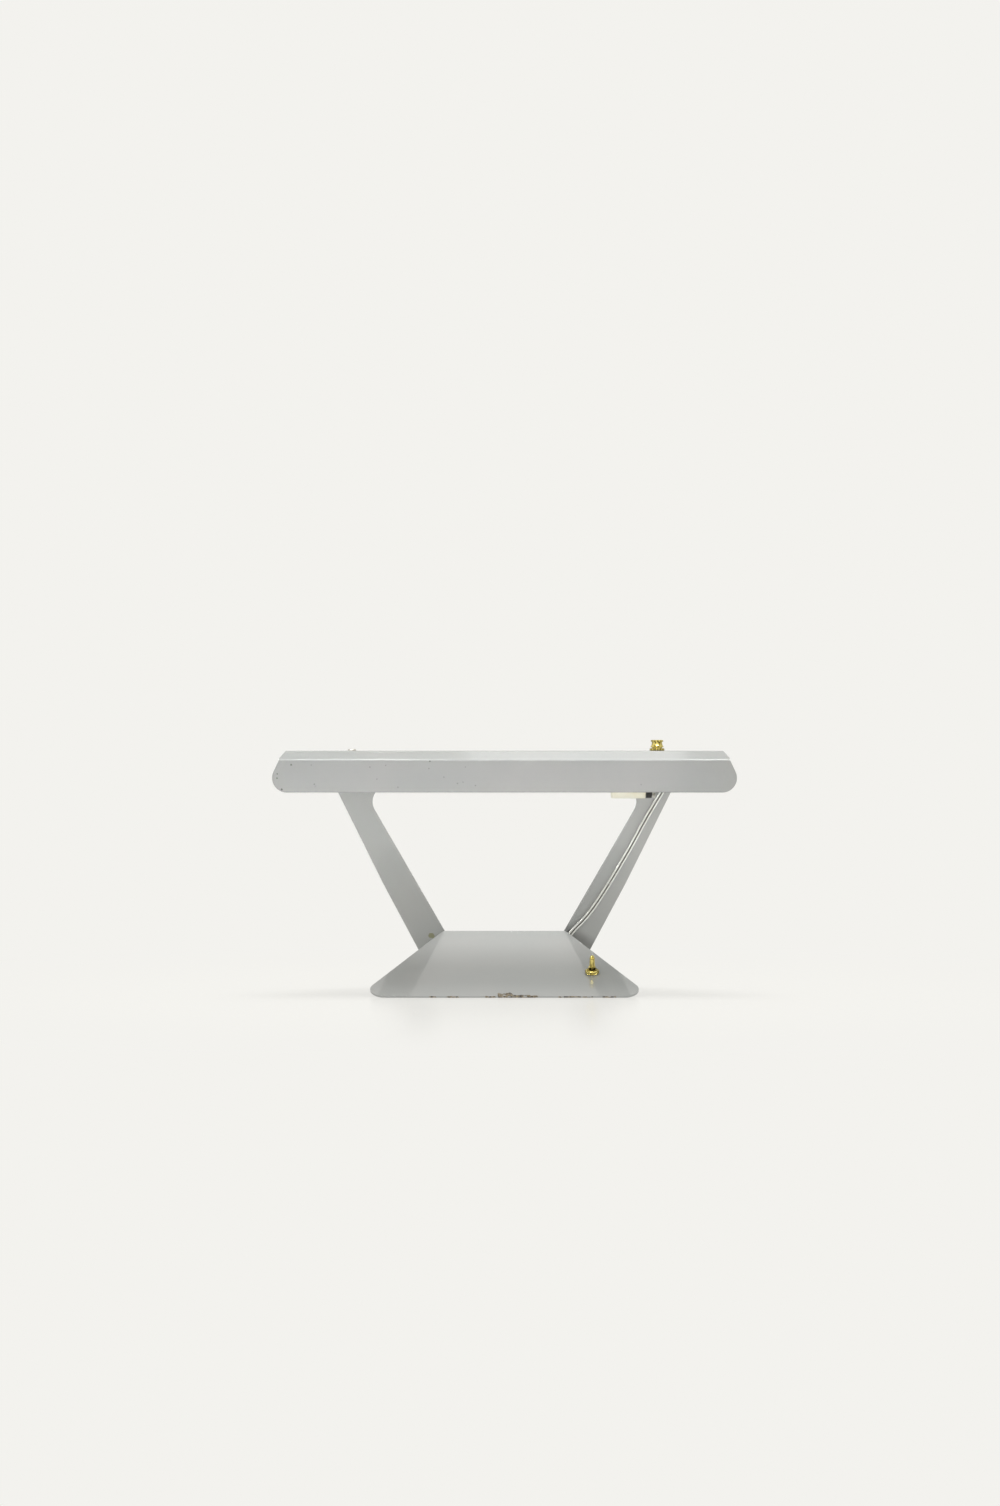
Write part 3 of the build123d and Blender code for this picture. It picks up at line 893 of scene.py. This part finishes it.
@dataclass
class TopFixings:
    """The right stud with its washer and thumb nut."""

    sides: int = 72
    washer_radius: float = 7.5
    washer_height: float = 2.4
    bore: float = 2.95

    def build(self, wardrobe: Wardrobe) -> None:
        """Model and dress the brass stack on the top.

        Args:
            wardrobe: The finishes.
        """
        foot = middle("thumb_nut")
        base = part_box("top_washer")[0][2]
        place = (foot.x, foot.y, base)
        edge, tall = self.washer_radius, self.washer_height
        washer = turned("top_ring", [
            (self.bore, 0.0), (edge - 0.5, 0.0), (edge - 0.1, 0.25), (edge, 0.6),
            (edge, tall - 0.6), (edge - 0.1, tall - 0.25), (edge - 0.5, tall), (self.bore, tall),
        ], self.sides, closed=True)
        washer["sides"] = self.sides
        washer.location = place
        settle(washer)
        place_piece(washer, "lamp", Finish.BRASS, wardrobe, "top_washer")

        nut = turned("thumb_nut_brass", [
            (self.bore, 0.0), (4.9, 0.0), (5.0, 0.15), (5.0, 0.7), (5.6, 0.85), (6.4, 0.95),
            (6.6, 1.2), (6.6, 1.75), (6.4, 2.0), (5.95, 2.5), (5.55, 3.6), (5.25, 4.8),
            (5.12, 5.6), (5.2, 6.1), (5.5, 6.4), (6.0, 6.6), (6.2, 6.85), (6.2, 7.7),
            (6.0, 8.1), (5.6, 8.35), (5.0, 8.4), (4.2, 8.15), (self.bore, 8.05),
        ], self.sides, closed=True)
        nut["sides"] = self.sides
        flute(nut, 6.7, 7.9, 6.1, 0.965)
        nut.location = (place[0], place[1], place[2] + tall * MM)
        settle(nut, 28.0)
        place_piece(nut, "lamp", Finish.BRASS, wardrobe, "thumb_nut")


# --- the toggle switch --------------------------------------------------------------------


@dataclass
class ToggleSwitch:
    """The brass parts of the switch that show on the foot."""

    x: float = SWITCH_X
    along: float = SWITCH_ALONG
    pivot: float = 2.5
    tilt: float = 12.0
    sides: int = 60

    def build(self, wardrobe: Wardrobe) -> None:
        """Model and dress the ring nut, the bushing's collar and the lever.

        Args:
            wardrobe: The finishes.
        """
        foot = Vector(FOLD.on_foot(self.x, self.along, 0.0))
        up = (Vector(FOLD.on_foot(self.x, self.along, -1.0)) - foot).normalized()
        ring = turned("switch_dress_nut", [
            (4.95, 0.0), (6.0, 0.0), (6.2, 0.2), (6.2, 0.8), (6.5, 1.0), (7.1, 1.1), (7.2, 1.3),
            (7.2, 2.5), (7.1, 2.7), (6.5, 2.85), (6.2, 3.0), (6.0, 3.5), (5.6, 3.9), (5.3, 4.0),
            (4.95, 3.9),
        ], self.sides, closed=True)
        ring["sides"] = self.sides
        flute(ring, 1.2, 2.6, 6.9, 0.90, 3)
        stand(ring, foot, up)
        settle(ring, 28.0)
        place_piece(ring, "lamp", Finish.BRASS, wardrobe, "switch_ring_nut")

        pivot = Vector(FOLD.on_foot(self.x, self.along, self.pivot))
        lean = Matrix.Rotation(math.radians(-self.tilt), 3, "X") @ up
        top = self.pivot
        lever = turned("switch_bat", [
            (0.6, -2.4), (1.5, -2.2), (2.3, -1.6), (2.6, -0.6), (2.6, 0.6), (2.2, 1.5),
            (1.7, 2.0), (1.7, top + 4.9), (2.8, top + 5.4), (3.75, top + 5.9), (3.9, top + 6.1),
            (3.9, top + 6.45), (3.6, top + 6.7), (3.0, top + 6.95), (2.8, top + 7.4), (2.6, top + 12.0),
            (2.45, top + 14.3), (2.75, top + 14.6), (2.8, top + 15.1), (2.7, top + 15.5), (2.2, top + 15.7),
            (2.2, top + 16.6), (1.9, top + 17.4), (1.2, top + 17.95), (0.4, top + 18.1),
        ], 40)
        stand(lever, pivot, lean)
        settle(lever, 40.0)
        place_piece(lever, "lever", Finish.BRASS, wardrobe, "switch_lever")


# --- cords ------------------------------------------------------------------------------------


def route_curve(name: str, points: list[Point], radius: float) -> bpy.types.Object:
    """A smooth curve with the route's points as its control points.

    Args:
        name: The piece's name.
        points: The route, in metres.
        radius: Half the cord's thickness in metres, or 0 for its bare line.

    Returns:
        The curve object.
    """
    curve = bpy.data.curves.new(name, "CURVE")
    curve.dimensions = "3D"
    spline = curve.splines.new("NURBS")
    spline.points.add(len(points) - 1)
    for control, point in zip(spline.points, points):
        control.co = (*point, 1.0)
    spline.order_u = 3
    spline.use_endpoint_u = True
    spline.resolution_u = 10
    curve.bevel_depth = radius
    curve.bevel_resolution = 5
    curve.use_fill_caps = True
    cord = bpy.data.objects.new(name, curve)
    bpy.context.scene.collection.objects.link(cord)
    return cord


def route_line(name: str, points: list[Point]) -> list[Vector]:
    """Points along a route's smooth line.

    Args:
        name: A name for the passing curve.
        points: The route, in metres.

    Returns:
        The line's points, in order.
    """
    guide = route_curve(name, points, 0.0)
    bpy.context.view_layer.update()
    mesh = bpy.data.meshes.new_from_object(guide)
    line = [vertex.co.copy() for vertex in mesh.vertices]
    bpy.data.meshes.remove(mesh)
    bpy.data.objects.remove(guide)
    return line


@dataclass
class TwinFlex:
    """The flat two-core flex down the front of the right arm."""

    core: float = 1.12
    pitch: float = 2.7
    length: float = 0.2376
    width: float = 0.005
    arc_steps: int = 12

    def section(self) -> list[tuple[float, float]]:
        """The outline of two round cores joined by a web.

        Returns:
            Across and thickness of each point, in millimetres.
        """
        half = self.pitch / 2
        waist = math.radians(20.0)
        outline = []
        for side in (1, -1):
            first = -math.pi + waist if side > 0 else waist
            for step in range(self.arc_steps + 1):
                angle = first + step * (2 * math.pi - 2 * waist) / self.arc_steps
                outline.append((side * half + self.core * math.cos(angle), self.core * math.sin(angle)))
        return outline

    def build(self, wardrobe: Wardrobe) -> None:
        """Args:
            wardrobe: The finishes.
        """
        route = [
            FOLD.on_back(166.0, 178.6, 7.0),
            FOLD.on_back(163.4, 166.0, 4.2),
            FOLD.on_back(156.2, 152.0, 3.2),
            FOLD.on_back(144.2, 129.0, 3.1),
            FOLD.on_back(131.9, 102.0, 3.2),
            FOLD.on_back(118.3, 75.0, 3.1),
            FOLD.on_back(105.0, 49.5, 3.2),
            FOLD.on_back(92.4, 27.5, 3.1),
            FOLD.on_back(82.4, 13.6, 3.6),
            FOLD.on_back(69.2, -0.6, 4.6),
            FOLD.on_back(60.6, -16.0, 5.8),
            FOLD.on_back(56.0, -30.2, 6.6),
        ]
        line = route_line("flex_guide", route)
        outward = Vector(FOLD.on_back(0, 0, 1.0)) - Vector(FOLD.on_back(0, 0, 0.0))
        outline = self.section()
        count = len(outline)
        vertices = []
        for index, point in enumerate(line):
            ahead = line[min(index + 1, len(line) - 1)] - line[max(index - 1, 0)]
            across = ahead.cross(outward).normalized()
            thick = across.cross(ahead).normalized()
            vertices += [point + across * (a * MM) + thick * (b * MM) for a, b in outline]
        faces = [tuple(range(count))]
        for ring in range(len(line) - 1):
            for step in range(count):
                near = ring * count + step
                beside = ring * count + (step + 1) % count
                faces.append((near, beside, beside + count, near + count))
        faces.append(tuple(range((len(line) - 1) * count, len(line) * count)))
        mesh = bpy.data.meshes.new("arm_twin_flex")
        mesh.from_pydata([tuple(v) for v in vertices], [], faces)
        piece = bpy.data.objects.new("arm_twin_flex", mesh)
        bpy.context.scene.collection.objects.link(piece)
        # The groove attribute carries painted shade: full between the cores, half along the flank that lies
        # towards the arm.
        groove = mesh.attributes.new("groove", "FLOAT", "POINT")
        inner = self.pitch / 2 - self.core * 0.55
        for index in range(len(vertices)):
            a, b = outline[index % count]
            # Half painted shade on the flank towards the arm.
            side = 0.5 if b < -self.core * 0.4 else 0.0
            groove.data[index].value = 1.0 if abs(a) < inner else side
        settle(piece, 50.0)
        place_piece(piece, "lamp", Finish.FLEX, wardrobe, "arm_flex")


@dataclass(frozen=True)
class Lead:
    """One insulated lead between two fittings."""

    node: str
    radius: float
    length: float
    points: tuple[Point, ...]


@dataclass
class Leads:
    """The single leads inside the shade and under the foot."""

    single: float = 1.0
    twin: float = 1.4
    terminals_back: float = 7.2

    def routes(self) -> list[Lead]:
        """Every lead with its route, in metres.

        Returns:
            The leads.
        """
        tube = middle("tube_glass").y / MM
        fold = FOLD.y / MM

        def at(x: float, y: float, z: float) -> Point:
            """A point in millimetres, in metres."""
            return (x * MM, y * MM, z * MM)

        return [
            Lead("shade_lead_left", self.twin, 0.3315, (
                FOLD.on_back(159.2, 186.0, 7.0),
                FOLD.on_back(146.0, 185.4, 4.4),
                FOLD.on_back(118.0, 183.4, 3.4),
                FOLD.on_back(76.0, 181.4, 3.3),
                FOLD.on_back(28.0, 180.3, 3.3),
                FOLD.on_back(-22.0, 180.4, 3.3),
                FOLD.on_back(-72.0, 181.6, 3.3),
                FOLD.on_back(-112.0, 183.7, 3.5),
                FOLD.on_back(-136.0, 186.4, 6.0),
                FOLD.on_back(-149.0, 189.6, 13.0),
                at(-152.4, tube + 9.2, 229.5),
            )),
            Lead("shade_lead_right", self.single, 0.0413, (
                FOLD.on_back(168.6, 188.5, 11.8),
                at(169.8, tube + 24.6, 220.6),
                at(171.6, tube + 17.0, 217.6),
                at(172.0, tube + 9.0, 217.8),
                at(168.6, tube + 2.6, 221.0),
                at(160.1, tube + 0.6, 224.0),
            )),
            Lead("starter_lead", self.single, 0.04, (
                at(147.6, tube + 8.8, 230.0),
                at(148.0, tube + 17.0, 235.5),
                at(147.8, tube + 25.0, 237.0),
                at(147.2, tube + 31.0, 232.5),
                at(146.9, tube + 31.0, 225.0),
                at(146.8, tube + 25.5, 218.9),
            )),
            Lead("switch_lead_live", self.single, 0.1063, (
                FOLD.on_foot(SWITCH_X + 3.5, SWITCH_ALONG - self.terminals_back, 15.6),
                at(91.2, fold - 78.0, 4.6),
                at(87.2, fold - 64.0, 2.4),
                at(81.0, fold - 45.0, 2.2),
                at(73.0, fold - 28.0, 4.2),
                at(66.0, fold - 11.0, 10.5),
                FOLD.on_back(60.4, -38.0, 11.8),
            )),
            Lead("switch_lead_load", self.single, 0.1067, (
                FOLD.on_foot(SWITCH_X - 3.5, SWITCH_ALONG - self.terminals_back, 15.6),
                at(83.8, fold - 77.0, 4.4),
                at(79.0, fold - 62.0, 2.3),
                at(72.0, fold - 44.0, 2.3),
                at(64.0, fold - 27.0, 4.0),
                at(58.4, fold - 11.0, 10.0),
                FOLD.on_back(52.3, -38.0, 11.8),
            )),
        ]

    def build(self, wardrobe: Wardrobe) -> None:
        """Model and dress every lead.

        Args:
            wardrobe: The finishes.
        """
        for lead in self.routes():
            piece = route_curve(f"{lead.node}_sleeve", list(lead.points), lead.radius * MM)
            place_piece(piece, "lamp", Finish.LEAD, wardrobe, lead.node)
            2 * lead.radius * MM


# --- carried-over parts ---------------------------------------------------------------------


CARRIED = {
    Finish.PHOSPHOR: ("tube_glass",),
    Finish.ALUMINIUM: ("tube_end_caps",),
    Finish.BRASS: (
        "tube_pins", "holder_contacts", "top_stud", "starter_pins", "foot_terminals_screws",
        "shade_terminals_screws", "earth_screw", "earth_tag", "earth_nut", "switch_bushing",
        "switch_lock_nut", "switch_tabs",
    ),
    Finish.WHITE: ("lampholder_left", "lampholder_right", "holder_rotors"),
    Finish.CREAM: ("starter_canister",),
    Finish.BLACK: ("starter_base", "starter_socket", "foot_terminals", "shade_terminals", "switch_case"),
    Finish.STEEL: (
        "holder_spacer", "top_screw", "starter_bracket", "socket_screws", "choke_frame",
        "choke_screws", "choke_nuts", "terminal_screws",
    ),
    Finish.STACK: ("choke_core",),
    Finish.WINDING: ("choke_windings",),
    Finish.RUBBER: ("lead_grommet",),
}


# --- the studio ---------------------------------------------------------------------------------


@dataclass(frozen=True)
class SoftLight:
    """A rectangular light, with its place and size in metres and its power in watts."""

    name: str
    place: Point
    size: tuple[float, float]
    energy: float
    spread: float = 180.0
    level: bool = False
    diffuse: bool = True
    glossy: bool = True
    camera: bool = True


@dataclass
class Studio:
    """A pale floor, soft light and the camera."""

    target: Point = (0.0, 0.0, 0.12)
    lights: tuple[SoftLight, ...] = (
        SoftLight("top_soft", (0.0, -0.12, 1.9), (0.7, 0.6), 18.0, glossy=False),
        SoftLight("left_soft", (-1.9, -2.3, 1.3), (1.4, 1.4), 3.0, glossy=False),
        SoftLight(
            "front_fill", (-0.3, -1.3, 0.17), (1.0, 0.1), 0.2,
            spread=11.0, level=True, glossy=False, camera=False,
        ),
        SoftLight("strip", (0.0, -1.5, 1.7), (2.6, 0.25), 60.0, diffuse=False),
        SoftLight("bevel_gleam", (0.10, 0.0, 1.6), (0.9, 0.3), 1.9, diffuse=False, camera=False),
    )
    white: Colour = (0.896, 0.888, 0.855)
    camera_back: float = 3.70
    camera_height: float = 0.270
    camera_x: float = -0.0045
    pitch: float = 0.39
    lens: float = 88.45

    def floor(self) -> None:
        """A wide pale floor that fades into the surround."""
        rest_all()
        bpy.ops.mesh.primitive_plane_add(size=400.0, location=(0, 0, 0))
        plane = bpy.context.object
        plane.name = "floor"
        graph = Graph("pale_floor")
        x, y, _ = graph.axes()
        radius = (x * x + y * y) ** 0.5
        lit = graph.node("ShaderNodeBsdfPrincipled", None, {
            "Base Color": (0.70, 0.694, 0.67), "Roughness": 0.22,
        })
        surround = graph.node("ShaderNodeEmission", None, {"Color": self.white, "Strength": 1.0})
        mixed = graph.node("ShaderNodeMixShader", None, {
            0: radius.ramp(0.20, 0.75) * 0.5 + 0.5, 1: lit.outputs[0], 2: surround.outputs[0],
        })
        graph.node("ShaderNodeOutputMaterial", None, {"Surface": mixed.outputs[0]})
        plane.data.materials.append(graph.material)

    def world(self) -> None:
        """An even pale surround."""
        world = bpy.data.worlds.new("surround")
        bpy.context.scene.world = world
        world.use_nodes = True
        background = world.node_tree.nodes["Background"]
        background.inputs["Color"].default_value = (*self.white, 1.0)
        background.inputs["Strength"].default_value = 1.0

    def light(self, soft: SoftLight) -> None:
        """Hang one soft light and point it at the lamp.

        Args:
            soft: The light.
        """
        data = bpy.data.lights.new(soft.name, "AREA")
        data.shape = "RECTANGLE"
        data.size, data.size_y = soft.size
        data.energy = soft.energy
        data.spread = math.radians(soft.spread)
        piece = bpy.data.objects.new(soft.name, data)
        bpy.context.scene.collection.objects.link(piece)
        aim = Vector((soft.place[0], 0, soft.place[2]) if soft.level else self.target) - Vector(soft.place)
        piece.location = soft.place
        piece.rotation_euler = aim.to_track_quat("-Z", "Y").to_euler()
        piece.visible_diffuse = soft.diffuse
        piece.visible_glossy = soft.glossy
        piece.visible_camera = soft.camera

    def camera(self) -> None:
        """The camera, level with the top of the shade."""
        data = bpy.data.cameras.new("camera")
        data.lens = self.lens
        data.sensor_fit = "AUTO"
        data.sensor_width = 36.0
        data.clip_end = 1000.0
        piece = bpy.data.objects.new("camera", data)
        bpy.context.scene.collection.objects.link(piece)
        foot_front = FOLD.on_foot(0, 167.4, 0)[1]
        piece.location = (self.camera_x, foot_front - self.camera_back, self.camera_height)
        piece.rotation_euler = (math.radians(90.0 - self.pitch), 0, 0)
        bpy.context.scene.camera = piece

    def build(self) -> None:
        """Set the studio up."""
        self.floor()
        self.world()
        for soft in self.lights:
            self.light(soft)
        self.camera()
        scene = bpy.context.scene
        scene.view_settings.view_transform = "Standard"
        scene.view_settings.look = "None"


def main() -> None:
    """Build every sub-assembly in order."""
    logging.basicConfig(level=logging.INFO, format="%(message)s")
    Studio().build()
    LOG.info("studio set")
    wardrobe = Wardrobe()
    TwinFlex().build(wardrobe)
    Leads().build(wardrobe)
    LOG.info("cords laid")
    PaintedSheet().build(wardrobe)
    LOG.info("sheet painted")
    TopFixings().build(wardrobe)
    LOG.info("top fixings turned")
    ToggleSwitch().build(wardrobe)
    LOG.info("switch fitted")
    for finish, nodes in CARRIED.items():
        wardrobe.dress_nodes(finish, *nodes)
    LOG.info("carried parts dressed")


if __name__ == "__main__":
    main()
